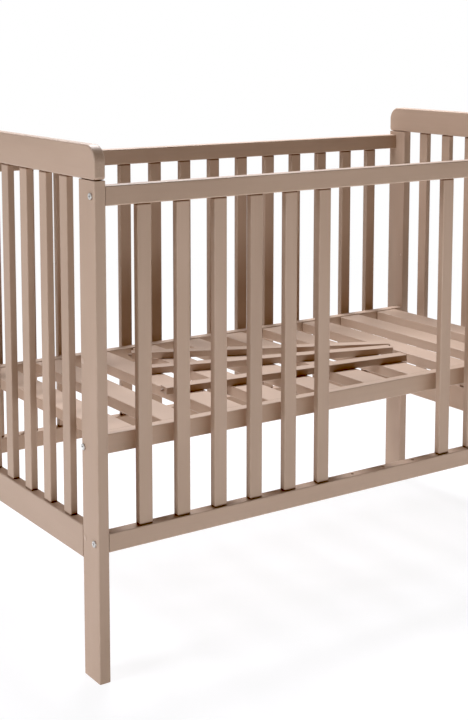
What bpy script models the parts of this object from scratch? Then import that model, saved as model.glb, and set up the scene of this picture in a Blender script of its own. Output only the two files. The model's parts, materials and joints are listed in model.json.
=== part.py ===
"""Baby crib with slatted sides, a height-adjustable slatted base and three removable slats.

Metres, +Z up, +X along the crib, -Y the front side. The origin is on the floor under the
middle of the crib. The three removable slats are taken out and lie on the base.
"""
import math

import bmesh
import bpy
from mathutils import Matrix, Vector

# Overall size, over the outer faces of the wood
LENGTH = 1.244
WIDTH = 0.660
HEIGHT = 0.962

# Fits
GAP = 0.0003                 # between pieces that touch
SHADOW_GAP = 0.0010          # visible joint under the top rail of an end panel
EDGE = 0.0018                # chamfer along every long edge
FOOT_EDGE = 0.0015           # chamfer round the foot of a post

# End panels
PANEL_THICK = 0.022
POST_WIDTH = 0.058
PANEL_RAIL_HIGH = 0.060
PANEL_LOW_RAIL_Z = 0.218     # underside of the bottom rail
PANEL_SLATS = 6
CORNER_RADIUS = 0.030        # upper corners of the top rail
CORNER_STEPS = 7

# Slats of the ends and sides
SLAT_WIDE = 0.028
SLAT_THICK = 0.0145
TENON_WIDE = 0.020
TENON_THICK = 0.0075
TENON_LONG = 0.010
TENON_EDGE = 0.0008

# Long sides
SIDE_RECESS = 0.0008         # side rails sit this far behind the face of the posts
SIDE_RAIL_THICK = 0.024
SIDE_RAIL_HIGH = 0.035
SIDE_LOW_RAIL_Z = 0.240
SIDE_TOP_RAIL_Z = 0.857
SIDE_SLATS = 14
SIDE_PITCH = 0.0802
REMOVABLE = (6, 7, 8)        # places, from 0 at the left, whose slats come out

# Slatted base
BASE_RAIL_THICK = 0.022
BASE_RAIL_HIGH = 0.036
BASE_RAIL_Z = 0.407
BASE_INSET = 0.0385          # from the face of the posts to the outer face of a base rail
BASE_SLATS = 10
BASE_PITCH = 0.1206
BASE_SLAT_WIDE = 0.060
BASE_SLAT_THICK = 0.022
BASE_SLAT_DROP = 0.0015      # slat tops lie this far below the tops of the base rails
BASE_TENON = (0.048, 0.011)
BASE_LEVELS = (0.2575, 0.425, 0.580)   # bolt heights of the three base positions
BASE_LEVEL_USED = 0.425

# Bolts with barrel nuts
BOLT_RADIUS = 0.0030
BOLT_HOLE_RADIUS = 0.0035
BOLT_INTO_RAIL = 0.028
BOLT_HOLE_DEPTH = 0.031
HEAD_RADIUS = 0.0060
HEAD_HIGH = 0.0030
HEAD_EDGE = 0.0007
SOCKET_RADIUS = 0.0026       # across the corners of the hexagon
SOCKET_DEPTH = 0.0021
BARREL_RADIUS = 0.0050
BARREL_HOLE_RADIUS = 0.0056
BARREL_LONG = 0.014
BARREL_FROM_END = 0.020
ROUND_SIDES = 12

# Removable slats, their pins and the sockets in the side rails
END_PLAY = 0.0010            # between a removable slat and each rail
PIN_RADIUS = 0.0027
PIN_PROUD = 0.0070
PIN_GLUED = 0.018
SOCKET_HOLE_RADIUS = 0.0033
SOCKET_HOLE_DEPTH = 0.0095
MOUTH_RADIUS = 0.0031
MOUTH_LONG = 0.004
CHAMBER_RADIUS = 0.0046
CHAMBER_LONG = 0.036
COLLAR_RADIUS = 0.0041
COLLAR_LONG = 0.006
SPRING_RADIUS = 0.0032
SPRING_WIRE = 0.00045
SPRING_TURNS = 6
SPRING_STEPS = 9
SPRING_SIDES = 5

# Where the three loose slats lie on the base: x and y of the middle, and the turn about Z
LOOSE_SLATS = (
    (-0.066, -0.137, math.radians(-5.7)),
    (-0.035, -0.020, math.radians(-15.1)),
    (0.002, 0.061, math.radians(-25.3)),
)

# Worked out from the sizes above
HALF_LENGTH = LENGTH / 2
HALF_WIDTH = WIDTH / 2
INNER_HALF_LENGTH = HALF_LENGTH - PANEL_THICK
PANEL_MID_X = HALF_LENGTH - PANEL_THICK / 2
POST_MID_Y = HALF_WIDTH - POST_WIDTH / 2
POST_INNER_Y = HALF_WIDTH - POST_WIDTH
TOP_RAIL_Z = HEIGHT - PANEL_RAIL_HIGH
POST_TOP = TOP_RAIL_Z - SHADOW_GAP
PANEL_LOW_RAIL_TOP = PANEL_LOW_RAIL_Z + PANEL_RAIL_HIGH
SIDE_RAIL_LONG = 2 * (INNER_HALF_LENGTH - GAP)
SIDE_MID_Y = HALF_WIDTH - SIDE_RECESS - SIDE_RAIL_THICK / 2
SIDE_LOW_RAIL_TOP = SIDE_LOW_RAIL_Z + SIDE_RAIL_HIGH
SIDE_LOW_RAIL_MID = SIDE_LOW_RAIL_Z + SIDE_RAIL_HIGH / 2
SIDE_TOP_RAIL_MID = SIDE_TOP_RAIL_Z + SIDE_RAIL_HIGH / 2
SIDE_OPENING = SIDE_TOP_RAIL_Z - SIDE_LOW_RAIL_TOP
BASE_RAIL_MID_Y = HALF_WIDTH - BASE_INSET - BASE_RAIL_THICK / 2
BASE_RAIL_INNER_Y = BASE_RAIL_MID_Y - BASE_RAIL_THICK / 2
BASE_RAIL_MID_Z = BASE_RAIL_Z + BASE_RAIL_HIGH / 2
BASE_SLAT_TOP = BASE_RAIL_Z + BASE_RAIL_HIGH - BASE_SLAT_DROP
BASE_SLAT_MID_Z = BASE_SLAT_TOP - BASE_SLAT_THICK / 2
LOOSE_LONG = SIDE_OPENING - 2 * END_PLAY
LOOSE_Z = BASE_SLAT_TOP + GAP + SLAT_THICK / 2

SIDES = {"left": -1, "right": 1}
FACES = {"front": -1, "back": 1}


def clear_scene():
    for obj in list(bpy.data.objects):
        bpy.data.objects.remove(obj, do_unlink=True)


def make_material(name, colour, roughness, metallic):
    material = bpy.data.materials.new(name)
    material.use_nodes = True
    shader = material.node_tree.nodes["Principled BSDF"]
    shader.inputs["Base Color"].default_value = (*colour, 1.0)
    shader.inputs["Roughness"].default_value = roughness
    shader.inputs["Metallic"].default_value = metallic
    material.diffuse_color = (*colour, 1.0)
    return material


# ---- outlines and closed bodies ----

def rectangle(width, height, radii=(EDGE,) * 4, steps=(1,) * 4):
    """Outline with a rounded or chamfered corner in each quadrant, anticlockwise."""
    quadrants = ((1, 1), (-1, 1), (-1, -1), (1, -1))
    points = []
    for turn, ((sx, sy), radius, count) in enumerate(zip(quadrants, radii, steps)):
        centre = (sx * (width / 2 - radius), sy * (height / 2 - radius))
        for step in range(count + 1):
            angle = math.pi / 2 * (turn + step / count)
            points.append((centre[0] + radius * math.cos(angle), centre[1] + radius * math.sin(angle)))
    return points


def circle(radius, sides=ROUND_SIDES):
    turns = [2 * math.pi * side / sides for side in range(sides)]
    return [(radius * math.cos(turn), radius * math.sin(turn)) for turn in turns]


def hexagon(radius):
    """Hexagon with a point in the middle of each side, to match a circle of 12 sides."""
    corners = circle(radius, 6)
    points = []
    for corner, following in zip(corners, corners[1:] + corners[:1]):
        points.append(corner)
        points.append(((corner[0] + following[0]) / 2, (corner[1] + following[1]) / 2))
    return points


def place(axis, a, b, along):
    """Point of an outline set square to an axis."""
    return {"X": (along, a, b), "Y": (a, along, b), "Z": (a, b, along)}[axis]


def loft(bm, axis, stations, middle=(0, 0, 0)):
    """Closed body through stations of (position along the axis, outline)."""
    middle = Vector(middle)
    rings = []
    for position, outline in stations:
        rings.append([bm.verts.new(Vector(place(axis, a, b, position)) + middle) for a, b in outline])
    for ring, following in zip(rings, rings[1:]):
        for index in range(len(ring)):
            after = (index + 1) % len(ring)
            bm.faces.new((ring[index], ring[after], following[after], following[index]))
    bm.faces.new(rings[0])
    bm.faces.new(rings[-1])


def finish_mesh(bm, name):
    bmesh.ops.recalc_face_normals(bm, faces=bm.faces)
    mesh = bpy.data.meshes.new(name)
    bm.to_mesh(mesh)
    bm.free()
    mesh.shade_smooth()
    mesh.set_sharp_from_angle(angle=math.radians(35))
    return mesh


def body_mesh(name, axis, stations):
    bm = bmesh.new()
    loft(bm, axis, stations)
    return finish_mesh(bm, name)


def bar_stations(outline, length):
    return [(-length / 2, outline), (length / 2, outline)]


def tenoned(width, thick, length, tenon, lower=True, upper=True):
    """Stations of a bar with a tenon on its lower or upper end, or both."""
    full = rectangle(width, thick)
    small = rectangle(*tenon, radii=(TENON_EDGE,) * 4)
    stations = bar_stations(full, length)
    if lower:
        stations = [(-length / 2 - TENON_LONG, small), (-length / 2, small)] + stations
    if upper:
        stations = stations + [(length / 2, small), (length / 2 + TENON_LONG, small)]
    return stations


# ---- objects ----

def add_object(name, mesh, material, location=(0, 0, 0), turn=0.0, parent=None):
    if not mesh.materials:
        mesh.materials.append(material)
    obj = bpy.data.objects.new(name, mesh)
    obj.location = location
    obj.rotation_euler = (0, 0, turn)
    obj.parent = parent
    bpy.context.collection.objects.link(obj)
    return obj


def combine(obj, operation, name, bodies):
    """Cut or join an object with closed bodies, given as (axis, stations, middle)."""
    bm = bmesh.new()
    for axis, stations, middle in bodies:
        loft(bm, axis, stations, middle)
    tool = bpy.data.objects.new(name, finish_mesh(bm, name))
    tool.parent = obj
    tool.hide_render = True
    tool.display_type = "WIRE"
    bpy.context.collection.objects.link(tool)
    modifier = obj.modifiers.new(name, "BOOLEAN")
    modifier.operation = operation
    modifier.solver = "EXACT"
    modifier.object = tool


def cut(obj, name, bodies):
    combine(obj, "DIFFERENCE", name, bodies)


def join(obj, name, bodies):
    combine(obj, "UNION", name, bodies)


def pocket(axis, size, depth, middle):
    """Mortise with a gap round its tenon, centred on the face it is cut from."""
    outline = rectangle(size[0] + 2 * GAP, size[1] + 2 * GAP, radii=(TENON_EDGE,) * 4)
    return axis, bar_stations(outline, 2 * (depth + GAP)), middle


def hole(axis, radius, start, end, middle):
    return axis, [(start, circle(radius)), (end, circle(radius))], middle


def side_places():
    """X of the middle of each slat place in a long side."""
    return [(place_number - (SIDE_SLATS - 1) / 2) * SIDE_PITCH for place_number in range(SIDE_SLATS)]


def panel_places():
    """Y of the middle of each slat in an end panel: all gaps are equal."""
    span = 2 * POST_INNER_Y
    gap = (span - PANEL_SLATS * SLAT_WIDE) / (PANEL_SLATS + 1)
    return [-POST_INNER_Y + gap + SLAT_WIDE / 2 + number * (gap + SLAT_WIDE) for number in range(PANEL_SLATS)]


def base_places():
    """X of the middle of each slat of the base."""
    return [(number - (BASE_SLATS - 1) / 2) * BASE_PITCH for number in range(BASE_SLATS)]


# ---- end panels ----

def add_posts(side, wood):
    """Two posts of one end panel, with bolt holes for the sides and for the three base heights."""
    outline = rectangle(PANEL_THICK, POST_WIDTH)
    foot = rectangle(PANEL_THICK - 2 * FOOT_EDGE, POST_WIDTH - 2 * FOOT_EDGE)
    for face, sign in FACES.items():
        mesh = body_mesh("post", "Z", [(0, foot), (FOOT_EDGE, outline), (POST_TOP, outline)])
        location = (SIDES[side] * PANEL_MID_X, sign * POST_MID_Y, 0)
        post = add_object(f"{side}_{face}_post", mesh, wood, location)
        side_y = sign * (SIDE_MID_Y - POST_MID_Y)
        base_y = sign * (BASE_RAIL_MID_Y - POST_MID_Y)
        spots = [(side_y, SIDE_LOW_RAIL_MID), (side_y, SIDE_TOP_RAIL_MID)]
        spots += [(base_y, level) for level in BASE_LEVELS]
        holes = [hole("X", BOLT_HOLE_RADIUS, -PANEL_THICK, PANEL_THICK, (0, y, z)) for y, z in spots]
        cut(post, f"{side}_{face}_post_holes", holes)


def panel_mortises(z):
    tenon = (TENON_THICK, TENON_WIDE)
    return [pocket("Z", tenon, TENON_LONG, (0, y, z)) for y in panel_places()]


def add_panel_rails(side, wood):
    x = SIDES[side] * PANEL_MID_X
    top_steps = (CORNER_STEPS, CORNER_STEPS, 1, 1)

    def top_outline(inset):
        top_radius = CORNER_RADIUS - inset
        low_radius = 2 * EDGE - inset
        radii = (top_radius, top_radius, low_radius, low_radius)
        return rectangle(WIDTH - 2 * inset, PANEL_RAIL_HIGH - 2 * inset, radii, top_steps)

    half = PANEL_THICK / 2
    stations = [(-half, top_outline(EDGE)), (EDGE - half, top_outline(0))]
    stations += [(half - EDGE, top_outline(0)), (half, top_outline(EDGE))]
    top_z = TOP_RAIL_Z + PANEL_RAIL_HIGH / 2
    top = add_object(f"{side}_top_rail", body_mesh("panel_top_rail", "X", stations), wood, (x, 0, top_z))
    cut(top, f"{side}_top_rail_mortises", panel_mortises(-PANEL_RAIL_HIGH / 2))

    low_long = 2 * (POST_INNER_Y - GAP)
    low_outline = rectangle(PANEL_THICK, PANEL_RAIL_HIGH)
    low_mesh = body_mesh("panel_bottom_rail", "Y", bar_stations(low_outline, low_long))
    low_z = PANEL_LOW_RAIL_Z + PANEL_RAIL_HIGH / 2
    low = add_object(f"{side}_bottom_rail", low_mesh, wood, (x, 0, low_z))
    cut(low, f"{side}_bottom_rail_mortises", panel_mortises(PANEL_RAIL_HIGH / 2))


def add_panel_slats(side, mesh, wood):
    middle_z = (PANEL_LOW_RAIL_TOP + TOP_RAIL_Z) / 2
    for number, y in enumerate(panel_places(), start=1):
        location = (SIDES[side] * PANEL_MID_X, y, middle_z)
        add_object(f"{side}_slat_{number}", mesh, wood, location)


def add_end_panels(wood):
    slat_long = TOP_RAIL_Z - PANEL_LOW_RAIL_TOP - 2 * GAP
    stations = tenoned(SLAT_THICK, SLAT_WIDE, slat_long, (TENON_THICK, TENON_WIDE))
    slat_mesh = body_mesh("panel_slat", "Z", stations)
    for side in SIDES:
        add_posts(side, wood)
        add_panel_rails(side, wood)
        add_panel_slats(side, slat_mesh, wood)


# ---- long sides and base rails ----

def bolt_fittings(obj):
    """Bolt holes in both ends of a rail, and the holes of their barrel nuts from its underside."""
    end = INNER_HALF_LENGTH - GAP
    barrel_top = BARREL_LONG / 2 + GAP
    bolt_holes = []
    barrel_holes = []
    for direction in SIDES.values():
        start = direction * (end - BOLT_HOLE_DEPTH)
        bolt_holes.append(hole("X", BOLT_HOLE_RADIUS, start, direction * (end + PANEL_THICK), (0, 0, 0)))
        x = direction * (INNER_HALF_LENGTH - BARREL_FROM_END)
        barrel_holes.append(hole("Z", BARREL_HOLE_RADIUS, -BASE_RAIL_HIGH, barrel_top, (x, 0, 0)))
    cut(obj, f"{obj.name}_bolt_holes", bolt_holes)
    cut(obj, f"{obj.name}_barrel_holes", barrel_holes)


def side_rail(name, sign, z, wood):
    outline = rectangle(SIDE_RAIL_THICK, SIDE_RAIL_HIGH)
    mesh = body_mesh("side_rail", "X", bar_stations(outline, SIDE_RAIL_LONG))
    rail = add_object(name, mesh, wood, (0, sign * SIDE_MID_Y, z))
    bolt_fittings(rail)
    return rail


def side_mortises(places, z):
    return [pocket("Z", (TENON_WIDE, TENON_THICK), TENON_LONG, (x, 0, z)) for x in places]


def pin_sockets(places, z, inward):
    """Blind holes for the pins of the removable slats."""
    start, end = inward * SOCKET_HOLE_DEPTH, -inward * SOCKET_HOLE_DEPTH
    return [hole("Z", SOCKET_HOLE_RADIUS, start, end, (x, 0, z)) for x in places]


def add_front_side(wood):
    places = side_places()
    loose = [places[number] for number in REMOVABLE]
    fixed = [x for x in places if x not in loose]
    half = SIDE_RAIL_HIGH / 2
    top = side_rail("front_top_rail", FACES["front"], SIDE_TOP_RAIL_MID, wood)
    cut(top, "front_top_rail_mortises", side_mortises(fixed, -half))
    cut(top, "front_top_rail_sockets", pin_sockets(loose, -half, 1))
    low = side_rail("front_bottom_rail", FACES["front"], SIDE_LOW_RAIL_MID, wood)
    cut(low, "front_bottom_rail_mortises", side_mortises(fixed, half))
    cut(low, "front_bottom_rail_sockets", pin_sockets(loose, half, -1))

    slat_long = SIDE_OPENING - 2 * GAP
    stations = tenoned(SLAT_WIDE, SLAT_THICK, slat_long, (TENON_WIDE, TENON_THICK))
    mesh = body_mesh("side_slat", "Z", stations)
    middle_z = (SIDE_LOW_RAIL_TOP + SIDE_TOP_RAIL_Z) / 2
    for number, x in enumerate(places):
        if number not in REMOVABLE:
            location = (x, FACES["front"] * SIDE_MID_Y, middle_z)
            add_object(f"front_slat_{number + 1:02d}", mesh, wood, location)


def add_back_side(wood):
    """Top rail, and the bottom rail with its slats glued in as one comb."""
    places = side_places()
    top = side_rail("back_top_rail", FACES["back"], SIDE_TOP_RAIL_MID, wood)
    cut(top, "back_top_rail_mortises", side_mortises(places, -SIDE_RAIL_HIGH / 2))
    comb = side_rail("back_slat_comb", FACES["back"], SIDE_LOW_RAIL_MID, wood)
    buried = TENON_LONG
    slat_long = SIDE_OPENING - GAP + buried
    stations = tenoned(SLAT_WIDE, SLAT_THICK, slat_long, (TENON_WIDE, TENON_THICK), lower=False)
    middle_z = SIDE_RAIL_HIGH / 2 - buried + slat_long / 2
    join(comb, "back_slats", [("Z", stations, (x, 0, middle_z)) for x in places])


def base_rail(name, sign, wood):
    outline = rectangle(BASE_RAIL_THICK, BASE_RAIL_HIGH)
    mesh = body_mesh("base_rail", "X", bar_stations(outline, SIDE_RAIL_LONG))
    return add_object(name, mesh, wood, (0, sign * BASE_RAIL_MID_Y, BASE_RAIL_MID_Z))


def add_base(wood):
    """Front rail with the slats glued in as one comb, and the back rail that takes their tenons."""
    comb = base_rail("base_slat_comb", FACES["front"], wood)
    buried = TENON_LONG
    slat_long = 2 * BASE_RAIL_INNER_Y - GAP + buried
    stations = tenoned(BASE_SLAT_WIDE, BASE_SLAT_THICK, slat_long, BASE_TENON, lower=False)
    slat_z = BASE_SLAT_MID_Z - BASE_RAIL_MID_Z
    middle_y = BASE_RAIL_THICK / 2 - buried + slat_long / 2
    join(comb, "base_slats", [("Y", stations, (x, middle_y, slat_z)) for x in base_places()])
    bolt_fittings(comb)
    back = base_rail("base_back_rail", FACES["back"], wood)
    bolt_fittings(back)
    inner = -BASE_RAIL_THICK / 2
    cut(back, "base_mortises", [pocket("Y", BASE_TENON, TENON_LONG, (x, inner, slat_z)) for x in base_places()])


# ---- bolts ----

def bolt_stations(direction):
    """Socket-head bolt from its socket out to the head's face and back to its tip."""
    under_head = -PANEL_THICK - GAP
    face = under_head - HEAD_HIGH
    steps = [
        (face + SOCKET_DEPTH, hexagon(SOCKET_RADIUS)),
        (face, hexagon(SOCKET_RADIUS)),
        (face, circle(HEAD_RADIUS - HEAD_EDGE)),
        (face + HEAD_EDGE, circle(HEAD_RADIUS)),
        (under_head, circle(HEAD_RADIUS)),
        (under_head, circle(BOLT_RADIUS)),
        (BOLT_INTO_RAIL, circle(BOLT_RADIUS)),
    ]
    return [(-direction * position, outline) for position, outline in steps]


def add_bolts(zinc):
    """One bolt with its barrel nut where each rail meets a post."""
    rows = {
        "bottom": (SIDE_MID_Y, SIDE_LOW_RAIL_MID),
        "base": (BASE_RAIL_MID_Y, BASE_LEVEL_USED),
        "top": (SIDE_MID_Y, SIDE_TOP_RAIL_MID),
    }
    barrel = bar_stations(circle(BARREL_RADIUS), BARREL_LONG)
    for side, direction in SIDES.items():
        mesh = body_mesh(f"bolt_{side}", "X", bolt_stations(direction))
        for face, sign in FACES.items():
            for row, (y, z) in rows.items():
                location = (direction * INNER_HALF_LENGTH, sign * y, z)
                bolt = add_object(f"bolt_{side}_{face}_{row}", mesh, zinc, location)
                nut_x = -direction * BARREL_FROM_END
                join(bolt, f"{bolt.name}_barrel_nut", [("Z", barrel, (nut_x, 0, 0))])


# ---- removable slats ----

def removable_body(name, wood, location, turn):
    """Slat with a glued pin at its left end and a chamber for the spring pin at its right end."""
    half = LOOSE_LONG / 2
    mesh = body_mesh(name, "X", bar_stations(rectangle(SLAT_WIDE, SLAT_THICK), LOOSE_LONG))
    slat = add_object(name, mesh, wood, location, turn)
    pin = [(-half - PIN_PROUD, circle(PIN_RADIUS - HEAD_EDGE)), (-half - PIN_PROUD + HEAD_EDGE, circle(PIN_RADIUS))]
    pin.append((-half + PIN_GLUED, circle(PIN_RADIUS)))
    join(slat, f"{name}_pin", [("X", pin, (0, 0, 0))])
    chamber = [
        (half - MOUTH_LONG - CHAMBER_LONG, circle(CHAMBER_RADIUS)),
        (half - MOUTH_LONG, circle(CHAMBER_RADIUS)),
        (half - MOUTH_LONG, circle(MOUTH_RADIUS)),
        (half + MOUTH_LONG, circle(MOUTH_RADIUS)),
    ]
    cut(slat, f"{name}_chamber", [("X", chamber, (0, 0, 0))])
    return slat


def spring_pin_mesh():
    """Pin with a collar that keeps it in the slat; its origin is where it leaves the slat's end."""
    collar_front = -MOUTH_LONG - GAP
    stations = [
        (collar_front - COLLAR_LONG, circle(COLLAR_RADIUS)),
        (collar_front, circle(COLLAR_RADIUS)),
        (collar_front, circle(PIN_RADIUS)),
        (PIN_PROUD - HEAD_EDGE, circle(PIN_RADIUS)),
        (PIN_PROUD, circle(PIN_RADIUS - HEAD_EDGE)),
    ]
    return body_mesh("spring_pin", "X", stations)


def spring_mesh():
    """Open coil between the pin's collar and the bottom of its chamber."""
    start = -MOUTH_LONG - CHAMBER_LONG + SPRING_WIRE + GAP
    end = -MOUTH_LONG - COLLAR_LONG - SPRING_WIRE - 2 * GAP
    bm = bmesh.new()
    rings = []
    for step in range(SPRING_TURNS * SPRING_STEPS + 1):
        along = step / (SPRING_TURNS * SPRING_STEPS)
        turn = Matrix.Rotation(2 * math.pi * SPRING_TURNS * along, 3, "X")
        centre = Vector((start + (end - start) * along, SPRING_RADIUS, 0))
        wire = [Vector((a, b, 0)) + centre for a, b in circle(SPRING_WIRE, SPRING_SIDES)]
        rings.append([bm.verts.new(turn @ point) for point in wire])
    for ring, following in zip(rings, rings[1:]):
        for index in range(SPRING_SIDES):
            after = (index + 1) % SPRING_SIDES
            bm.faces.new((ring[index], ring[after], following[after], following[index]))
    bm.faces.new(rings[0])
    bm.faces.new(rings[-1])
    return finish_mesh(bm, "pin_spring")


def add_removable_slats(wood, nylon, steel):
    pin_mesh = spring_pin_mesh()
    coil_mesh = spring_mesh()
    end = (LOOSE_LONG / 2, 0, 0)
    for number, (x, y, turn) in enumerate(LOOSE_SLATS, start=1):
        slat = removable_body(f"removable_slat_{number}", wood, (x, y, LOOSE_Z), turn)
        add_object(f"spring_pin_{number}", pin_mesh, nylon, end, parent=slat)
        add_object(f"pin_spring_{number}", coil_mesh, steel, end, parent=slat)


def main():
    clear_scene()
    wood = make_material("painted_wood", (0.42, 0.31, 0.24), 0.55, 0.0)
    zinc = make_material("zinc_plated_steel", (0.72, 0.72, 0.73), 0.3, 1.0)
    nylon = make_material("nylon", (0.36, 0.26, 0.20), 0.45, 0.0)
    steel = make_material("spring_steel", (0.55, 0.55, 0.56), 0.35, 1.0)
    add_end_panels(wood)
    add_front_side(wood)
    add_back_side(wood)
    add_base(wood)
    add_bolts(zinc)
    add_removable_slats(wood, nylon, steel)


main()
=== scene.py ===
"""Looks of the baby crib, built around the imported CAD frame. Metres, +Z up."""
import json
import math
import random

import bmesh
import bpy
from mathutils import Matrix, Vector


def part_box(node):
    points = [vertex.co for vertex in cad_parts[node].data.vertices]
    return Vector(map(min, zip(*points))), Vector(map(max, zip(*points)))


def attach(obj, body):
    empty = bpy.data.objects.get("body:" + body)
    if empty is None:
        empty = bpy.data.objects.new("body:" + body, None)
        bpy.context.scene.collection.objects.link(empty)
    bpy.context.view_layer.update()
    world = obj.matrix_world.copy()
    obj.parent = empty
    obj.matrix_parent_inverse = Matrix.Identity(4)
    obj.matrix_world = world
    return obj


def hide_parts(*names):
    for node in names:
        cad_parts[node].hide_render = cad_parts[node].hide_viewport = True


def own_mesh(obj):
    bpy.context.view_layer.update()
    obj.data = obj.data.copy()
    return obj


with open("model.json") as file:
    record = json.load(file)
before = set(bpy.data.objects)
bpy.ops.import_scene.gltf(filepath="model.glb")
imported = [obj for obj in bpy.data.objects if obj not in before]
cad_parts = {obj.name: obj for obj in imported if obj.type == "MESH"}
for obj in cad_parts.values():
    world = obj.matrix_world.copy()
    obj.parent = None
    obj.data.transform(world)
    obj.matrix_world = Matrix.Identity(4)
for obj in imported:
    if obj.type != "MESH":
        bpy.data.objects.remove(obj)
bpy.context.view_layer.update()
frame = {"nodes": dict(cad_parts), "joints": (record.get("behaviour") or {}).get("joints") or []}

FRAME_BODY = "crib_frame"

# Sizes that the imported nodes' boxes don't show
TENON_LONG = 0.010
TENON_SECTION = (0.020, 0.0075)
TENON_ROUND = 0.0008
SLAT_SECTION = (0.028, 0.0145)
BASE_TENON_SECTION = (0.048, 0.011)
BASE_PITCH = 0.1206
BASE_SLAT_WIDE = 0.060
BASE_SLAT_THICK = 0.022
BASE_SLAT_DROP = 0.0015
SIDE_SLATS = 14
BASE_SLATS = 10
END_SLATS = 6
REMOVABLE = (6, 7, 8)        # places, from 0 at the left, whose slats come out
BOLT_HOLE_RADIUS = 0.0035
BOLT_HOLE_DEPTH = 0.031
BARREL_HOLE_RADIUS = 0.0056
BARREL_FROM_END = 0.020
BARREL_LONG = 0.014
BARREL_RADIUS = 0.0050
BARREL_EDGE = 0.0006
SOCKET_RADIUS = 0.0033
SOCKET_DEPTH = 0.0095
CHAMBER_RADIUS = 0.0046
CHAMBER_LONG = 0.036
MOUTH_RADIUS = 0.0031
MOUTH_LONG = 0.004
MOUTH_EDGE = 0.0004
PIN_RADIUS = 0.0027
PIN_PROUD = 0.007
PIN_GLUED = 0.018
COLLAR_RADIUS = 0.0041
COLLAR_LONG = 0.006
COLLAR_EDGE = 0.0004         # at its back, towards the spring
COLLAR_EASE = 0.0002         # at its face, round the pin
SPRING_RADIUS = 0.0032
SPRING_WIRE = 0.00045        # radius of the wire
SPRING_TURNS = 8
SPRING_CLOSE = 2.1 * SPRING_WIRE       # pitch of the close turn at each end
UNUSED_LEVELS = (0.2575, 0.580)
COVER_STEM = 0.0034
COVER_EDGE = 0.0004
END_PLAY = 0.001             # between a removable slat and each rail
GAP = 0.0003

# Turned shapes, as (distance, radius)
BOLT_HEAD = (                # in from the head's face, starting at the bottom of the six-sided socket
    (0.0024, 0.0023), (0.0003, 0.0023), (0.0, 0.0026), (0.0, 0.0050),
    (0.0003, 0.0057), (0.0008, 0.0060), (0.0033, 0.0060),
)
BOLT_SHANK = ((0.0033, 0.0030), (0.0518, 0.0030), (0.0533, 0.0022))
BOLT_SOCKET = 0.0026
PIN_TIP = ((0.0, 0.0018), (0.0003, 0.0023), (0.0010, PIN_RADIUS))          # in from the end of a pin
COVER_HEAD = (               # out from the post's face
    (0.0001, COVER_STEM), (0.0001, 0.0050), (0.0003, 0.0052),
    (0.0005, 0.0048), (0.0007, 0.00312), (0.0008, 0.00104),
)

# Edge rounding
SLAT_ROUND = 0.0022
RAIL_ROUND = 0.0026
POST_ROUND = 0.0024
CAP_ROUND = 0.0032
END_ROUND = 0.0008
SHOULDER_ROUND = 0.0017
# how far in from a tenon's shoulder the pooled paint and painted shade fade out; the bar's loft has a
# station there
JOINT_REACH = 0.0040
POST_FOOT_ROUND = 0.0015
POST_TOP_ROUND = 0.0005
BASE_RAIL_ROUND = RAIL_ROUND * 0.8
LOOSE_ROUND = SLAT_ROUND * 0.6
ROUND_LEFT = 0.4             # least share of an edge's rounding that is left where an end curves in
HOLE_FLARE = 0.0005
CORNER_RADIUS = 0.030

# Steps round curves, and how far a cutter starts outside the wood
ARC_STEPS = 4
END_STEPS = 3
CORNER_STEPS = 14
BORE_SIDES = 28
TURNED_SIDES = 32
BOLT_SIDES = 36
BARREL_SIDES = 24
SPRING_STEPS = 24
SPRING_SIDES = 10
CUT_PAST = 0.004

rng = random.Random(7)       # for each piece's shift of its pattern and each bolt's turn


# ---------------------------------------------------------------- camera, light, floor

CAMERA_AT = (-1.7014, -2.3530, 1.1502)
CAMERA_YAW = 35.239
CAMERA_PITCH = 7.017
CAMERA_ROLL = 0.200
CAMERA_LENS = 67.489
CAMERA_SHIFT = (-0.0397, -0.222)
CAMERA_REACH = 200.0
BLACK_LEVEL = 0.038
BACKDROP_SHINE = 0.45
LAMPS = (
    # name, place, aim, size, watts, colour
    ("key", (-6.0, 0.05, 4.2), (0, 0, 0.5), (2.6, 2.6), 322, (0.985, 1.0, 1.045)),
    ("top", (0.67, 1.4, 3.13), (0.1, 0, 0.4), (1.4, 1.0), 148, (0.985, 1.005, 1.045)),
    ("front_bounce", (0.1, -1.5, 0.02), (0.1, -1.3, 1.0), (3.0, 1.2), 50.5, (1, 1, 1)),
    ("left_bounce", (-1.9, -0.3, 0.02), (-1.6, -0.2, 1.0), (1.2, 2.4), 10, (1, 1, 1)),
)
FLOOR_HALF = 60.0
FLOOR_GLOW = 0.865
FLOOR_BOUNCE = 0.87
FLOOR_SHADE = (0.196, 0.189, 0.204)
FLOOR_PAPER = ((0.3, (0.60, 0.60, 0.605)), (0.7, (0.63, 0.63, 0.635)))
FLOOR_FADE = (1.2, 4.0)
FLOOR_FAR_SHARE = 0.3


def make_camera():
    data = bpy.data.cameras.new("camera")
    data.lens = CAMERA_LENS
    data.shift_x, data.shift_y = CAMERA_SHIFT
    data.clip_end = CAMERA_REACH
    cam = bpy.data.objects.new("camera", data)
    bpy.context.scene.collection.objects.link(cam)
    yaw, pitch, roll = (math.radians(v) for v in (CAMERA_YAW, CAMERA_PITCH, CAMERA_ROLL))
    ahead = Vector((math.sin(yaw) * math.cos(pitch), math.cos(yaw) * math.cos(pitch), -math.sin(pitch)))
    level = Vector((math.cos(yaw), -math.sin(yaw), 0))
    over = level.cross(ahead)
    right = math.cos(roll) * level + math.sin(roll) * over
    up = math.cos(roll) * over - math.sin(roll) * level
    turn = Matrix((right, up, -ahead)).transposed()
    cam.matrix_world = Matrix.Translation(CAMERA_AT) @ turn.to_4x4()
    bpy.context.scene.camera = cam


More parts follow.
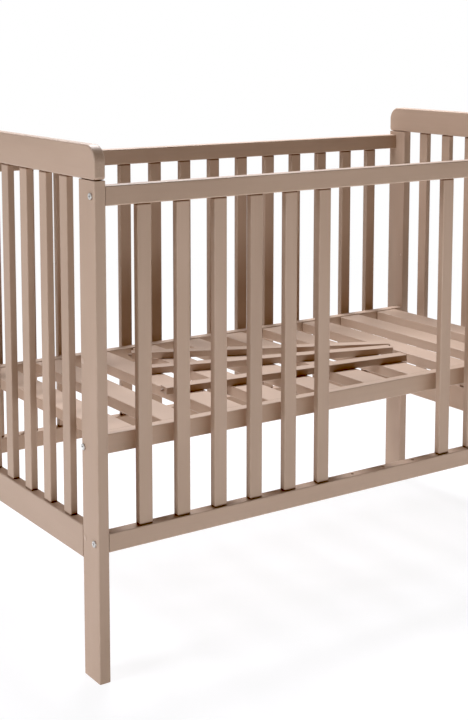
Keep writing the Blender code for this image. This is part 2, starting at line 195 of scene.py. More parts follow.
def area_light(name, place, aim, size, watts, colour):
    data = bpy.data.lights.new(name, "AREA")
    data.shape = "RECTANGLE"
    data.size, data.size_y = size
    data.energy = watts
    data.color = colour
    lamp = bpy.data.objects.new(name, data)
    lamp.visible_camera = False
    lamp.location = place
    lamp.rotation_euler = (Vector(aim) - Vector(place)).to_track_quat("-Z", "Y").to_euler()
    bpy.context.scene.collection.objects.link(lamp)


def make_world():
    """White backdrop for the camera and for reflections. Lamps and the floor give all the other light."""
    world = bpy.data.worlds.new("studio")
    bpy.context.scene.world = world
    world.use_nodes = True
    nodes, links = world.node_tree.nodes, world.node_tree.links
    nodes.clear()
    path = nodes.new("ShaderNodeLightPath")
    shine = nodes.new("ShaderNodeMath")
    shine.operation = "MULTIPLY"
    links.new(path.outputs["Is Glossy Ray"], shine.inputs[0])
    shine.inputs[1].default_value = BACKDROP_SHINE
    strength = nodes.new("ShaderNodeMath")
    strength.operation = "MAXIMUM"
    links.new(path.outputs["Is Camera Ray"], strength.inputs[0])
    links.new(shine.outputs[0], strength.inputs[1])
    backdrop = nodes.new("ShaderNodeBackground")
    backdrop.inputs["Color"].default_value = (1, 1, 1, 1)
    links.new(strength.outputs[0], backdrop.inputs["Strength"])
    out = nodes.new("ShaderNodeOutputWorld")
    links.new(backdrop.outputs[0], out.inputs["Surface"])


def grade_picture():
    """Plain display transform, with shadows pulled down a little as in a catalogue picture."""
    view = bpy.context.scene.view_settings
    view.view_transform = "Standard"
    view.use_curve_mapping = True
    view.curve_mapping.black_level = (BLACK_LEVEL,) * 3
    view.curve_mapping.update()


def make_stage():
    """Pale floor that glows, so that shadows stay faint, and melts into the white backdrop far out.

    The far floor glows white to the camera and in reflections, but sends only a little light to other
    surfaces.
    """
    bm = bmesh.new()
    bmesh.ops.create_grid(bm, x_segments=1, y_segments=1, size=FLOOR_HALF)
    mesh = mesh_from(bm, "floor")
    floor = bpy.data.objects.new("floor", mesh)
    bpy.context.scene.collection.objects.link(floor)
    material, build = new_material("floor", 0.85, 0.0)
    place = build.coords("Object")
    tone = build.noise(place, 0.6, 2.0)
    path = build.nodes.new("ShaderNodeLightPath").outputs
    seen = build.math("MAXIMUM", path["Is Camera Ray"], path["Is Glossy Ray"])
    build.set("Base Color", build.mix(seen, build.ramp(tone, FLOOR_PAPER), FLOOR_SHADE))
    build.shader.inputs["Emission Color"].default_value = (1, 1, 1, 1)
    build.set("Emission Strength", build.between(seen, 0.0, 1.0, FLOOR_BOUNCE, FLOOR_GLOW))
    build.set("Specular IOR Level", 0.0)
    far = build.nodes.new("ShaderNodeEmission")
    build.link(build.between(seen, 0.0, 1.0, FLOOR_BOUNCE * FLOOR_FAR_SHARE, 1.0), far.inputs["Strength"])
    reach = build.nodes.new("ShaderNodeVectorMath")
    reach.operation = "LENGTH"
    build.link(place, reach.inputs[0])
    blend = build.nodes.new("ShaderNodeMixShader")
    build.link(build.between(reach.outputs["Value"], *FLOOR_FADE), blend.inputs[0])
    build.link(build.shader.outputs[0], blend.inputs[1])
    build.link(far.outputs[0], blend.inputs[2])
    build.link(blend.outputs[0], build.nodes["Material Output"].inputs["Surface"])
    mesh.materials.append(material)


# ---------------------------------------------------------------- node helpers

class Build:
    """Short calls for the nodes of one material."""

    def __init__(self, material):
        self.nodes = material.node_tree.nodes
        self.links = material.node_tree.links
        self.shader = self.nodes["Principled BSDF"]

    def link(self, source, target):
        if isinstance(source, (int, float)):
            target.default_value = source
        else:
            self.links.new(source, target)

    def coords(self, kind):
        return self.nodes.new("ShaderNodeTexCoord").outputs[kind]

    def mapped(self, vector, scale, offset=None):
        node = self.nodes.new("ShaderNodeMapping")
        node.inputs["Scale"].default_value = scale
        self.links.new(vector, node.inputs["Vector"])
        if offset is not None:
            self.links.new(offset, node.inputs["Location"])
        return node.outputs["Vector"]

    def noise(self, vector, scale, detail, roughness=0.5, distortion=0.0):
        node = self.nodes.new("ShaderNodeTexNoise")
        node.inputs["Scale"].default_value = scale
        node.inputs["Detail"].default_value = detail
        node.inputs["Roughness"].default_value = roughness
        node.inputs["Distortion"].default_value = distortion
        self.links.new(vector, node.inputs["Vector"])
        return node.outputs["Fac"]

    def math(self, operation, a, b=0.0, clamp=False):
        node = self.nodes.new("ShaderNodeMath")
        node.operation = operation
        node.use_clamp = clamp
        self.link(a, node.inputs[0])
        self.link(b, node.inputs[1])
        return node.outputs[0]

    def between(self, value, low, high, to_low=0.0, to_high=1.0):
        node = self.nodes.new("ShaderNodeMapRange")
        limits = {"From Min": low, "From Max": high, "To Min": to_low, "To Max": to_high}
        for name, number in limits.items():
            node.inputs[name].default_value = number
        self.links.new(value, node.inputs["Value"])
        return node.outputs["Result"]

    def ramp(self, value, stops):
        node = self.nodes.new("ShaderNodeValToRGB")
        elements = node.color_ramp.elements
        while len(elements) < len(stops):
            elements.new(0.5)
        for element, (position, colour) in zip(elements, stops):
            element.position = position
            element.color = (*colour, 1)
        self.links.new(value, node.inputs["Fac"])
        return node.outputs["Color"]

    def mix(self, factor, a, b, mode="MIX"):
        node = self.nodes.new("ShaderNodeMix")
        node.data_type = "RGBA"
        node.blend_type = mode
        self.link(factor, node.inputs[0])
        for value, target in ((a, node.inputs[6]), (b, node.inputs[7])):
            if isinstance(value, tuple):
                target.default_value = (*value, 1)
            else:
                self.links.new(value, target)
        return node.outputs[2]

    def bump(self, height, strength, distance, normal=None):
        node = self.nodes.new("ShaderNodeBump")
        node.inputs["Strength"].default_value = strength
        node.inputs["Distance"].default_value = distance
        self.links.new(height, node.inputs["Height"])
        if normal is not None:
            self.links.new(normal, node.inputs["Normal"])
        return node.outputs["Normal"]

    def attribute(self, name, kind="GEOMETRY", output="Fac"):
        node = self.nodes.new("ShaderNodeAttribute")
        node.attribute_type = kind
        node.attribute_name = name
        return node.outputs[output]

    def along_x(self, vector):
        node = self.nodes.new("ShaderNodeSeparateXYZ")
        self.links.new(vector, node.inputs[0])
        return node.outputs[0]

    def toned(self, colour, tone):
        """Colour times a grey tone."""
        node = self.nodes.new("ShaderNodeCombineColor")
        for channel in range(3):
            self.links.new(tone, node.inputs[channel])
        return self.mix(1.0, colour, node.outputs[0], "MULTIPLY")

    def set(self, name, value):
        self.link(value, self.shader.inputs[name])


def new_material(name, roughness, metallic):
    material = bpy.data.materials.new(name)
    material.use_nodes = True
    build = Build(material)
    build.shader.inputs["Roughness"].default_value = roughness
    build.shader.inputs["Metallic"].default_value = metallic
    return material, build


# ---------------------------------------------------------------- materials

PAINT_DARK = (0.385, 0.277, 0.212)
PAINT = (0.410, 0.297, 0.228)
PAINT_LIGHT = (0.432, 0.315, 0.246)
PLUG_LIGHT = tuple(value * 1.04 for value in PAINT_LIGHT)
THIN_PAINT = (0.52, 0.425, 0.358)
# pooled paint at tenon shoulders, darkened far past paint into a painted shade line
POOLED_PAINT_AND_SHADE = (0.120, 0.064, 0.040)
END_GRAIN = ((0.35, (0.33, 0.238, 0.182)), (0.65, (0.40, 0.295, 0.230)))
BARE_BEECH = ((0.3, (0.30, 0.20, 0.135)), (0.7, (0.42, 0.29, 0.20)))
ZINC_TONES = ((0.3, (0.52, 0.51, 0.50)), (0.7, (0.68, 0.67, 0.66)))
NYLON_TONES = ((0.3, (0.300, 0.214, 0.163)), (0.7, (0.345, 0.250, 0.193)))
STEEL_TONES = ((0.3, (0.42, 0.42, 0.43)), (0.7, (0.60, 0.60, 0.61)))
PATTERN_SPREAD = 9.0         # most that a piece's noise is shifted by, in the noise's own units


def painted_wood():
    """Sprayed matte paint on beech.

    Grain just telegraphs along each piece, over fine orange peel. The paint is thinner on edges, darker
    over end grain, and pooled round the shoulders of tenons, with painted shade there as a dark joint line.
    """
    material, build = new_material("painted_wood", 0.5, 0.0)
    own = build.attribute("color", "OBJECT", "Vector")
    local = build.coords("Object")
    offset = build.nodes.new("ShaderNodeVectorMath")
    offset.operation = "SCALE"
    offset.inputs["Scale"].default_value = PATTERN_SPREAD
    build.link(own, offset.inputs[0])
    moved = offset.outputs[0]
    grain = build.noise(build.mapped(local, (2.6, 95.0, 95.0), moved), 1.0, 4.0, 0.62, 0.55)
    pores = build.noise(build.mapped(local, (22.0, 900.0, 900.0), moved), 1.0, 2.0, 0.5)
    cloud = build.noise(build.mapped(local, (3.0, 9.0, 9.0), moved), 1.0, 3.0)
    peel = build.noise(local, 620.0, 2.0, 0.6)

    body = build.ramp(cloud, ((0.30, PAINT_DARK), (0.50, PAINT), (0.72, PAINT_LIGHT)))
    body = build.toned(body, build.between(grain, 0.34, 0.66, 0.982, 1.012))
    body = build.toned(body, build.between(pores, 0.62, 0.78, 1.0, 0.965))
    body = build.toned(body, build.between(build.along_x(own), 0.0, 1.0, 0.965, 1.03))

    end_face = build.between(build.math("ABSOLUTE", build.along_x(build.coords("Normal"))), 0.80, 0.97)
    speckle = build.noise(build.mapped(local, (300.0, 420.0, 420.0), moved), 1.0, 3.0, 0.7)
    body = build.mix(build.math("MULTIPLY", end_face, 0.75), body, build.ramp(speckle, END_GRAIN))

    breakup = build.noise(build.mapped(local, (40.0, 120.0, 120.0), moved), 1.0, 3.0, 0.7)
    patchy = build.between(breakup, 0.42, 0.66, 0.25, 1.0)
    worn = build.math("MULTIPLY", build.attribute("edge"), patchy, True)
    body = build.mix(build.math("MULTIPLY", worn, 0.30), body, THIN_PAINT)
    # painted shade: tenon shoulders go nearly black, part pooled paint and part painted contact shadow
    body = build.mix(build.math("MULTIPLY", build.attribute("joint"), 0.85), body, POOLED_PAINT_AND_SHADE)
    build.set("Base Color", body)

    texture = build.math("ADD", peel, build.math("MULTIPLY", grain, 0.8))
    rough = build.between(texture, 0.5, 1.3, 0.43, 0.57)
    build.set("Roughness", build.math("SUBTRACT", rough, build.math("MULTIPLY", worn, 0.07)))
    build.set("IOR", 1.46)
    build.set("Specular IOR Level", 0.32)
    normal = build.bump(peel, 0.10, 0.0004)
    normal = build.bump(grain, 0.10, 0.0003, normal)
    build.set("Normal", build.bump(pores, 0.10, 0.0002, normal))
    return material


def bare_wood():
    """Drilled beech inside a hole, with torn fibres that run along the grain."""
    material, build = new_material("drilled_wood", 0.75, 0.0)
    local = build.coords("Object")
    fibre = build.noise(build.mapped(local, (60.0, 700.0, 700.0)), 1.0, 3.0, 0.6)
    build.set("Base Color", build.ramp(fibre, BARE_BEECH))
    build.set("Normal", build.bump(fibre, 0.5, 0.0006))
    return material


def zinc():
    """Bright zinc plating with a crystal mottle and fine turning marks."""
    material, build = new_material("zinc_plated_steel", 0.28, 1.0)
    local = build.coords("Object")
    mottle = build.noise(local, 900.0, 3.0, 0.6)
    turning = build.noise(build.mapped(local, (5200.0, 160.0, 160.0)), 1.0, 2.0)
    build.set("Base Color", build.ramp(mottle, ZINC_TONES))
    build.set("Roughness", build.between(mottle, 0.3, 0.7, 0.24, 0.40))
    build.set("Normal", build.bump(turning, 0.12, 0.00008))
    return material


def nylon():
    """Moulded nylon, a shade darker than the paint, with a fine matte texture."""
    material, build = new_material("nylon", 0.48, 0.0)
    local = build.coords("Object")
    skin = build.noise(local, 2400.0, 3.0, 0.6)
    tone = build.noise(local, 60.0, 2.0)
    build.set("Base Color", build.ramp(tone, NYLON_TONES))
    build.set("Roughness", build.between(skin, 0.3, 0.7, 0.40, 0.56))
    build.set("Normal", build.bump(skin, 0.15, 0.0001))
    return material


def cover_plastic():
    """Push-in plugs, a shade lighter and smoother than the paint round them."""
    material, build = new_material("cover_plastic", 0.42, 0.0)
    local = build.coords("Object")
    skin = build.noise(local, 1800.0, 2.0, 0.6)
    tone = build.noise(local, 90.0, 2.0)
    build.set("Base Color", build.ramp(tone, ((0.3, PAINT_LIGHT), (0.7, PLUG_LIGHT))))
    build.set("Roughness", build.between(skin, 0.3, 0.7, 0.38, 0.48))
    build.set("Normal", build.bump(skin, 0.10, 0.0001))
    return material


def spring_steel():
    """Drawn spring wire, mottled by a trace of oil."""
    material, build = new_material("spring_steel", 0.32, 1.0)
    local = build.coords("Object")
    mottle = build.noise(local, 3000.0, 2.0)
    build.set("Base Color", build.ramp(mottle, STEEL_TONES))
    build.set("Roughness", build.between(mottle, 0.3, 0.7, 0.26, 0.42))
    return material


WOOD = painted_wood()
BARE = bare_wood()
ZINC = zinc()
NYLON = nylon()
COVER = cover_plastic()
STEEL = spring_steel()


# ---------------------------------------------------------------- meshes

def round_rectangle(width, height, radii, steps):
    """Anticlockwise outline with four rounded corners, and each point's nearness to its corner's middle."""
    quadrants = ((1, 1), (-1, 1), (-1, -1), (1, -1))
    points, roundness = [], []
    for turn, ((sx, sy), radius, count) in enumerate(zip(quadrants, radii, steps)):
        for step in range(count + 1):
            angle = math.pi / 2 * (turn + step / count)
            points.append((sx * (width / 2 - radius) + radius * math.cos(angle),
                           sy * (height / 2 - radius) + radius * math.sin(angle)))
            roundness.append(math.sin(math.pi * step / count))
    return points, roundness


def plain_outline(width, height, radius=SLAT_ROUND):
    return round_rectangle(width, height, (radius,) * 4, (ARC_STEPS,) * 4)


def add_skin(bm, rings):
    """Closed skin over rings of vertices."""
    for ring, after in zip(rings, rings[1:]):
        for i in range(len(ring)):
            j = (i + 1) % len(ring)
            bm.faces.new((ring[i], ring[j], after[j], after[i]))
    bm.faces.new(rings[0])
    bm.faces.new(rings[-1])
    bmesh.ops.recalc_face_normals(bm, faces=bm.faces)


def mesh_from(bm, name):
    mesh = bpy.data.meshes.new(name)
    bm.to_mesh(mesh)
    bm.free()
    return mesh


def loft_mesh(name, stations):
    """Closed mesh along X through (x, outline, edge share) stations. Its edge attribute thins the paint."""
    bm = bmesh.new()
    layer = bm.verts.layers.float.new("edge")
    rings = []
    for x, (points, roundness), share in stations:
        ring = []
        for (y, z), amount in zip(points, roundness):
            vert = bm.verts.new((x, y, z))
            vert[layer] = max(amount, share)
            ring.append(vert)
        rings.append(ring)
    add_skin(bm, rings)
    return mesh_from(bm, name)


def end_stations(half, outline_at, radius, sign):
    """Stations of a rounded end, from the flat of the end to where the full outline starts."""
    stations = []
    for step in range(END_STEPS + 1):
        angle = math.pi / 2 * step / END_STEPS
        inset = radius * (1 - math.sin(angle))
        x = sign * (half - radius * (1 - math.cos(angle)))
        stations.append((x, outline_at(inset), math.sin(2 * angle)))
    return stations


def bar_mesh(name, size, radius, rounded=(0.0, 0.0), tenon=None):
    """Bar along X of a given length, width and thickness.

    Its ends are cut square, rounded by a radius each, or both have a tenon of a given section.
    """
    length, wide, thick = size
    half = length / 2

    def outline_at(inset):
        return plain_outline(wide - 2 * inset, thick - 2 * inset, max(radius - inset, radius * ROUND_LEFT))

    halves = []
    for sign, round_by in zip((-1, 1), rounded):
        if tenon:
            small = plain_outline(*tenon, TENON_ROUND)
            part = [(sign * (half + TENON_LONG), small, 0), (sign * half, small, 0)]
            shoulder = end_stations(half, outline_at, SHOULDER_ROUND, sign)
            part += [(x, outline, 0) for x, outline, _ in shoulder]
            part.append((sign * (half - JOINT_REACH), outline_at(0), 0))
        elif round_by:
            part = end_stations(half, outline_at, round_by, sign)
        else:
            part = [(sign * half, outline_at(0), 0)]
        halves.append(part)
    mesh = loft_mesh(name, halves[0] + halves[1][::-1])
    if tenon:
        mark_pooling_and_shade(mesh, half)
    return mesh


def mark_pooling_and_shade(mesh, half):
    """Joint attribute: 1 at the shoulders of a tenoned bar, where paint pools and shade is painted in, and 0
    a little way in.
    """
    fade = JOINT_REACH - SHOULDER_ROUND
    shares = [(abs(vert.co.x) - half + JOINT_REACH) / fade for vert in mesh.vertices]
    joint = mesh.attributes.new("joint", "FLOAT", "POINT")
    joint.data.foreach_set("value", [min(max(share, 0), 1) for share in shares])


AXIS_TURNS = {
    "X": Matrix.Identity(4),
    "Y": Matrix.Rotation(math.pi / 2, 4, "Z"),
    "Z": Matrix.Rotation(-math.pi / 2, 4, "Y"),
}


def lathe_mesh(name, profile, sides=TURNED_SIDES, hexagon=None):
    """Closed mesh of revolution about X through (x, radius) points, six-sided up to a hexagon's radius."""
    stations = []
    for x, radius in profile:
        ring = []
        for side in range(sides):
            angle = 2 * math.pi * side / sides
            reach = radius
            if hexagon and radius <= hexagon:
                sixth = (angle + math.pi / 6) % (math.pi / 3) - math.pi / 6
                reach = radius * math.cos(math.pi / 6) / math.cos(sixth)
            ring.append((reach * math.cos(angle), reach * math.sin(angle)))
        stations.append((x, (ring, [0.0] * sides), 0))
    return loft_mesh(name, stations)


def coil_mesh(name, start, end):
    """Closed mesh of a wire coil about X from start to end, with a close turn at each end."""
    low, high = start + SPRING_WIRE, end - SPRING_WIRE
    open_length = high - low - 2 * SPRING_CLOSE
    bm = bmesh.new()
    rings = []
    for step in range(SPRING_TURNS * SPRING_STEPS + 1):
        turns = step / SPRING_STEPS
        open_part = (turns - 1) / (SPRING_TURNS - 2) * open_length
        x = low + min(turns, 1) * SPRING_CLOSE + min(max(open_part, 0), open_length)
        x += max(turns - SPRING_TURNS + 1, 0) * SPRING_CLOSE
        turn = Matrix.Rotation(2 * math.pi * turns, 3, "X")
        ring = []
        for side in range(SPRING_SIDES):
            angle = 2 * math.pi * side / SPRING_SIDES
            wire = Vector((SPRING_WIRE * math.cos(angle), SPRING_WIRE * math.sin(angle) + SPRING_RADIUS, 0))
            ring.append(bm.verts.new(turn @ wire + Vector((x, 0, 0))))
        rings.append(ring)
    add_skin(bm, rings)
    return mesh_from(bm, name)


# ---------------------------------------------------------------- pieces

def shade(obj, sharp=40):
    obj.data.shade_smooth()
    obj.data.set_sharp_from_angle(angle=math.radians(sharp))
    modifier = obj.modifiers.new("even_normals", "WEIGHTED_NORMAL")
    modifier.keep_sharp = True


def add_piece(name, mesh, material, matrix, body=FRAME_BODY, replaced=(), sharp=40):
    if not mesh.materials:
        mesh.materials.append(material)
    obj = bpy.data.objects.new(name, mesh)
    obj.color = (rng.random(), rng.random(), rng.random(), 1)
    bpy.context.scene.collection.objects.link(obj)
    obj.matrix_world = matrix
    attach(obj, body)
    if replaced:
        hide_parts(*replaced)
    shade(obj, sharp)
    return obj


def bore(obj, holes, lining=BARE):
    """Cuts turned holes, given as (matrix, profile along X), with the lining's material on their walls."""
    bpy.context.view_layer.update()
    whole = bmesh.new()
    for matrix, profile in holes:
        mesh = lathe_mesh("cutter", profile, BORE_SIDES)
        mesh.transform(matrix)
        whole.from_mesh(mesh)
        bpy.data.meshes.remove(mesh)
    cutter_mesh = mesh_from(whole, "cutter")
    cutter_mesh.materials.append(lining)
    cutter = bpy.data.objects.new("cutter", cutter_mesh)
    bpy.context.scene.collection.objects.link(cutter)
    modifier = obj.modifiers.new("bore", "BOOLEAN")
    modifier.operation = "DIFFERENCE"
    modifier.solver = "EXACT"
    modifier.material_mode = "TRANSFER"
    modifier.object = cutter
    obj.modifiers.remove(obj.modifiers["even_normals"])
    bpy.context.view_layer.update()
    bored = obj.evaluated_get(bpy.context.evaluated_depsgraph_get())
    made = bpy.data.meshes.new_from_object(bored)
    obj.modifiers.clear()
    obj.data = made
    bpy.data.objects.remove(cutter)
    shade(obj)


def hole(axis, sign, mouth, radius, depth):
    """Blind hole that starts at mouth and goes in along sign times an axis, its mouth slightly broken."""
    matrix = Matrix.Translation(mouth) @ AXIS_TURNS[axis]
    wide = radius + HOLE_FLARE
    profile = ((-CUT_PAST, wide), (0.0, wide), (HOLE_FLARE, radius), (depth, radius))
    return matrix, tuple((sign * x, r) for x, r in profile)


def through_hole(middle, radius, length):
    """Hole along X right through a post, both mouths slightly broken."""
    half = length / 2
    wide = radius + HOLE_FLARE
    mouth = ((half - HOLE_FLARE, radius), (half, wide), (half + CUT_PAST, wide))
    return Matrix.Translation(middle), tuple((-x, r) for x, r in reversed(mouth)) + mouth


def size_and_middle(node):
    low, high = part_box(node)
    return high - low, (low + high) / 2


def bar_piece(name, node, axis, radius, rounded=(0.0, 0.0)):
    """Bar in the place of a CAD node that has no tenons."""
    size, middle = size_and_middle(node)
    order = {"X": (0, 1, 2), "Y": (1, 0, 2), "Z": (2, 1, 0)}[axis]
    mesh = bar_mesh(name, [size[index] for index in order], radius, rounded)
    matrix = Matrix.Translation(middle) @ AXIS_TURNS[axis]
    return add_piece(name, mesh, WOOD, matrix, replaced=(node,))


def upright_slat(name, x, y, low, high, facing, replaced=()):
    """Slat from low to high with tenons; facing is the axis that its broad face looks along."""
    section, tenon = SLAT_SECTION, TENON_SECTION
    if facing == "Y":
        section, tenon = section[::-1], tenon[::-1]
    mesh = bar_mesh(name, (high - low, *section), SLAT_ROUND, tenon=tenon)
    matrix = Matrix.Translation((x, y, (low + high) / 2)) @ AXIS_TURNS["Z"]
    return add_piece(name, mesh, WOOD, matrix, replaced=replaced)


# ---------------------------------------------------------------- end panels

INWARD = {"left": 1, "right": -1}      # sign of X going in from an end's outer face
FACES = ("front", "back")
ROWS = ("bottom", "base", "top")


def post_piece(side, face):
    node = f"{side}_{face}_post"
    piece = bar_piece(node + "_wood", node, "Z", POST_ROUND, (POST_FOOT_ROUND, POST_TOP_ROUND))
    size, middle = size_and_middle(node)
    bolts_at = [size_and_middle(f"bolt_{side}_{face}_{row}")[1] for row in ROWS]
    places = [(middle.x, at.y, at.z) for at in bolts_at]
    base_y = bolts_at[ROWS.index("base")].y
    for level, z in zip(("low", "high"), UNUSED_LEVELS):
        place = (middle.x, base_y, z)
        places.append(place)
        cover_piece(f"hole_cover_{side}_{face}_{level}", side, place, size.x)
    bore(piece, [through_hole(place, BOLT_HOLE_RADIUS, size.x) for place in places])


def cover_piece(name, side, place, post_thick):
    """Push-in plug of an unused base-height hole: a low domed head outside, flush with the inner face."""
    outward = -INWARD[side]
    half = post_thick / 2
    stem = [(-half, COVER_STEM - COVER_EDGE), (-half + COVER_EDGE, COVER_STEM)]
    profile = stem + [(half + x, radius) for x, radius in COVER_HEAD]
    mesh = lathe_mesh(name, [(outward * x, radius) for x, radius in profile])
    add_piece(name, mesh, COVER, Matrix.Translation(place))


def top_rail_piece(side):
    """Top rail of an end panel, its two upper corners rounded and every edge eased.

    It is lofted across its thickness, then turned so that its own X runs along it, like the grain.
    """
    node = f"{side}_top_rail"
    size, middle = size_and_middle(node)
    half = size.x / 2

    def outline_at(inset):
        corner, low = CORNER_RADIUS - inset, 2 * CAP_ROUND - inset
        radii = (corner, corner, low, low)
        steps = (CORNER_STEPS, CORNER_STEPS, ARC_STEPS, ARC_STEPS)
        points, _ = round_rectangle(size.y - 2 * inset, size.z - 2 * inset, radii, steps)
        return points, [0.0] * len(points)

    stations = []
    for sign in (-1, 1):
        part = []
        for step in range(ARC_STEPS + 1):
            angle = math.pi / 2 * step / ARC_STEPS
            inset = CAP_ROUND * (1 - math.sin(angle))
            x = sign * (half - CAP_ROUND * (1 - math.cos(angle)))
            part.append((x, outline_at(inset), math.sin(2 * angle)))
        stations.append(part)
    mesh = loft_mesh(node + "_wood", stations[0] + stations[1][::-1])
    mesh.transform(Matrix.Rotation(-math.pi / 2, 4, "Z"))
    matrix = Matrix.Translation(middle) @ AXIS_TURNS["Y"]
    add_piece(node + "_wood", mesh, WOOD, matrix, replaced=(node,))


def end_panel(side):
    for face in FACES:
        post_piece(side, face)
    top_rail_piece(side)
    node = f"{side}_bottom_rail"
    bar_piece(node + "_wood", node, "Y", RAIL_ROUND)
    for number in range(1, END_SLATS + 1):
        slat = f"{side}_slat_{number}"
        size, middle = size_and_middle(slat)
        half = size.z / 2 - TENON_LONG
        upright_slat(slat + "_wood", middle.x, middle.y, middle.z - half, middle.z + half, "X", (slat,))


# ---------------------------------------------------------------- long sides

def rail_bores(low, high):
    """Bolt holes in both ends of a rail, and the holes of their barrel nuts from its underside."""
    middle = (low + high) / 2
    holes = []
    for sign, end in ((-1, low.x), (1, high.x)):
        holes.append(hole("X", -sign, (end, middle.y, middle.z), BOLT_HOLE_RADIUS, BOLT_HOLE_DEPTH))
        depth = middle.z - low.z + BARREL_LONG / 2 + GAP
        x = end - sign * (BARREL_FROM_END - GAP)
        holes.append(hole("Z", 1, (x, middle.y, low.z), BARREL_HOLE_RADIUS, depth))
    return holes


def side_places():
    """X of the middle of every slat place of a long side."""
    first = sum(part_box("front_slat_01"), Vector()).x / 2
    last = sum(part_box("front_slat_14"), Vector()).x / 2
    return [first + (last - first) * place / (SIDE_SLATS - 1) for place in range(SIDE_SLATS)]


def long_side(face):
    """Rails and slats of a side. The front's missing slats leave painted pin sockets in its rails."""
    top_low, top_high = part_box(f"{face}_top_rail")
    height = top_high.z - top_low.z
    y = (top_low.y + top_high.y) / 2
    places = side_places()
    top = bar_piece(f"{face}_top_rail_wood", f"{face}_top_rail", "X", RAIL_ROUND)
    if face == "front":
        bottom_node = "front_bottom_rail"
        low_low, low_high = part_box(bottom_node)
        bottom = bar_piece(bottom_node + "_wood", bottom_node, "X", RAIL_ROUND)
    else:
        bottom_node = "back_slat_comb"
        low_low, low_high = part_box(bottom_node)
        low_high = Vector((low_high.x, low_high.y, low_low.z + height))
        mesh = bar_mesh("back_bottom_rail_wood", low_high - low_low, RAIL_ROUND)
        matrix = Matrix.Translation((low_low + low_high) / 2)
        bottom = add_piece("back_bottom_rail_wood", mesh, WOOD, matrix, replaced=(bottom_node,))
    bore(top, rail_bores(top_low, top_high))
    bore(bottom, rail_bores(low_low, low_high))
    if face == "front":
        for rail, sign, z in ((top, 1, top_low.z), (bottom, -1, low_high.z)):
            mouths = [(places[place], y, z) for place in REMOVABLE]
            bore(rail, [hole("Z", sign, mouth, SOCKET_RADIUS, SOCKET_DEPTH) for mouth in mouths], WOOD)
    for place, x in enumerate(places):
        if face == "front" and place in REMOVABLE:
            continue
        node = (f"front_slat_{place + 1:02d}",) if face == "front" else ()
        upright_slat(f"{face}_slat_{place + 1:02d}_wood", x, y, low_high.z + GAP, top_low.z - GAP, "Y", node)


# ---------------------------------------------------------------- base

def base():
    """Two rails, sized by the CAD's back rail, with the cross slats tenoned between them."""
    size, middle = size_and_middle("base_back_rail")
    for face, sign, node in (("front", -1, "base_slat_comb"), ("back", 1, "base_back_rail")):
        name = f"base_{face}_rail_wood"
        mesh = bar_mesh(name, size, BASE_RAIL_ROUND)
        at = Vector((middle.x, sign * middle.y, middle.z))
        piece = add_piece(name, mesh, WOOD, Matrix.Translation(at), replaced=(node,))
        bore(piece, rail_bores(at - size / 2, at + size / 2))
    z = middle.z + size.z / 2 - BASE_SLAT_DROP - BASE_SLAT_THICK / 2
    length = 2 * middle.y - size.y - 2 * GAP
    for number in range(BASE_SLATS):
        x = (number - (BASE_SLATS - 1) / 2) * BASE_PITCH
        name = f"base_slat_{number + 1:02d}_wood"
        slat_size = (length, BASE_SLAT_WIDE, BASE_SLAT_THICK)
        mesh = bar_mesh(name, slat_size, SLAT_ROUND, tenon=BASE_TENON_SECTION)
        add_piece(name, mesh, WOOD, Matrix.Translation((x, 0, z)) @ AXIS_TURNS["Y"])


# ---------------------------------------------------------------- bolts

def bolts():
    """Socket-head bolts, each with a barrel nut across its end."""
    half, small = BARREL_LONG / 2, BARREL_RADIUS - BARREL_EDGE
    barrel = (
        (-half, small), (BARREL_EDGE - half, BARREL_RADIUS),
        (half - BARREL_EDGE, BARREL_RADIUS), (half, small),
    )
    for side, inward in INWARD.items():
        profile = [(inward * x, radius) for x, radius in BOLT_HEAD + BOLT_SHANK]
        for face in FACES:
            post_low, post_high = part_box(f"{side}_{face}_post")
            inner_x = post_high.x if side == "left" else post_low.x
            for row in ROWS:
                node = f"bolt_{side}_{face}_{row}"
                size, middle = size_and_middle(node)
                mesh = lathe_mesh(node + "_metal", profile, BOLT_SIDES, BOLT_SOCKET)
                mesh.transform(Matrix.Rotation(rng.uniform(0, math.pi), 4, "X"))
                at = Matrix.Translation((middle.x - inward * size.x / 2, middle.y, middle.z))
                add_piece(node + "_metal", mesh, ZINC, at, replaced=(node,), sharp=30)
                nut_name = node.replace("bolt", "barrel_nut")
                nut = lathe_mesh(nut_name, barrel, BARREL_SIDES)
                nut_x = inner_x + inward * BARREL_FROM_END
                nut_at = Matrix.Translation((nut_x, middle.y, middle.z)) @ AXIS_TURNS["Z"]
                add_piece(nut_name, nut, ZINC, nut_at, sharp=30)


# ---------------------------------------------------------------- removable slats

def loose_slat_matrix(node, along, length):
    """Place and turn of a loose slat, whose spring pin's end is on the side that along points to."""
    across = Vector((-along.y, along.x, 0))
    points = [vert.co for vert in frame["nodes"][node].data.vertices]
    spring_end = max(point.dot(along) for point in points)
    sideways = [point.dot(across) for point in points]
    middle = along * (spring_end - length / 2) + across * (min(sideways) + max(sideways)) / 2
    middle.z = size_and_middle(node)[1].z
    turn = Matrix((along, across, Vector((0, 0, 1)))).transposed()
    return Matrix.Translation(middle) @ turn.to_4x4()


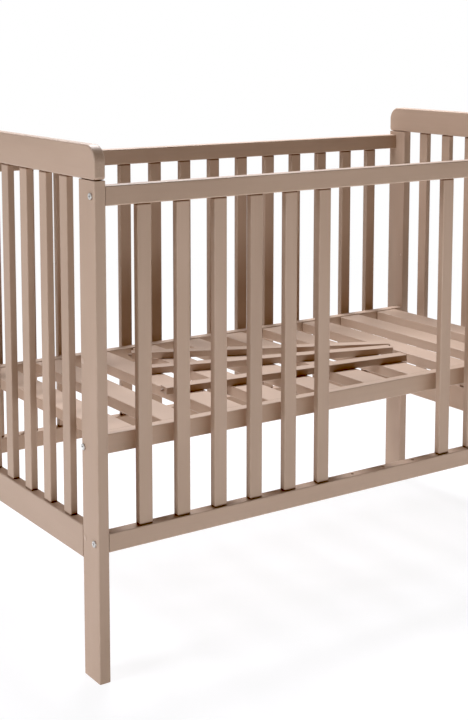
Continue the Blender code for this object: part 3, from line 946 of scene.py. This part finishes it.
def loose_slat(number):
    """Loose slat with its glued pin, its spring pin, and the spring in the chamber behind the spring pin."""
    node, pin_node, spring_node = f"removable_slat_{number}", f"spring_pin_{number}", f"pin_spring_{number}"
    body = f"loose_slat_{number}"
    joint = next(joint for joint in frame["joints"] if joint["name"] == f"slat_pin_{number}_press")
    along = -Vector(joint["axis"])
    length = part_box("front_top_rail")[0].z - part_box("front_bottom_rail")[1].z - 2 * END_PLAY
    matrix = loose_slat_matrix(node, along, length)
    fixed_at = matrix @ Matrix.Translation((-length / 2, 0, 0))
    spring_at = matrix @ Matrix.Translation((length / 2, 0, 0))

    mesh = bar_mesh(node + "_wood", (length, *SLAT_SECTION), LOOSE_ROUND, (END_ROUND, END_ROUND))
    slat = add_piece(node + "_wood", mesh, WOOD, matrix, body, (node,))
    chamber_end = -MOUTH_LONG - CHAMBER_LONG
    chamber = (
        (chamber_end, CHAMBER_RADIUS), (-MOUTH_LONG, CHAMBER_RADIUS), (-MOUTH_LONG, MOUTH_RADIUS),
        (-MOUTH_EDGE, MOUTH_RADIUS), (0.0, MOUTH_RADIUS + MOUTH_EDGE), (CUT_PAST, MOUTH_RADIUS + MOUTH_EDGE),
    )
    bore(slat, [(spring_at, chamber)])

    fixed = [(x - PIN_PROUD, radius) for x, radius in PIN_TIP] + [(PIN_GLUED, PIN_RADIUS)]
    add_piece(f"fixed_pin_{number}", lathe_mesh("fixed_pin", fixed), NYLON, fixed_at, body)

    collar_face = -MOUTH_LONG - GAP
    collar_back = collar_face - COLLAR_LONG
    sprung = [
        (collar_back, COLLAR_RADIUS - COLLAR_EDGE), (collar_back + COLLAR_EDGE, COLLAR_RADIUS),
        (collar_face - COLLAR_EASE, COLLAR_RADIUS), (collar_face, COLLAR_RADIUS - COLLAR_EASE),
        (collar_face, PIN_RADIUS),
    ]
    sprung += [(PIN_PROUD - x, radius) for x, radius in reversed(PIN_TIP)]
    add_piece(pin_node + "_moulding", lathe_mesh("spring_pin", sprung), NYLON, spring_at,
              f"slat_pin_{number}", (pin_node,))

    coil_end = collar_back - GAP
    coil = coil_mesh("pin_spring", chamber_end + GAP, coil_end)
    spring = add_piece(spring_node + "_wire", coil, STEEL, spring_at, body, (spring_node,))
    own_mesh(spring)


# ---------------------------------------------------------------- scene

make_camera()
make_world()
make_stage()
grade_picture()
for lamp_row in LAMPS:
    area_light(*lamp_row)
for end in INWARD:
    end_panel(end)
for side_face in FACES:
    long_side(side_face)
base()
bolts()
for index in (1, 2, 3):
    loose_slat(index)

bpy.context.view_layer.update()
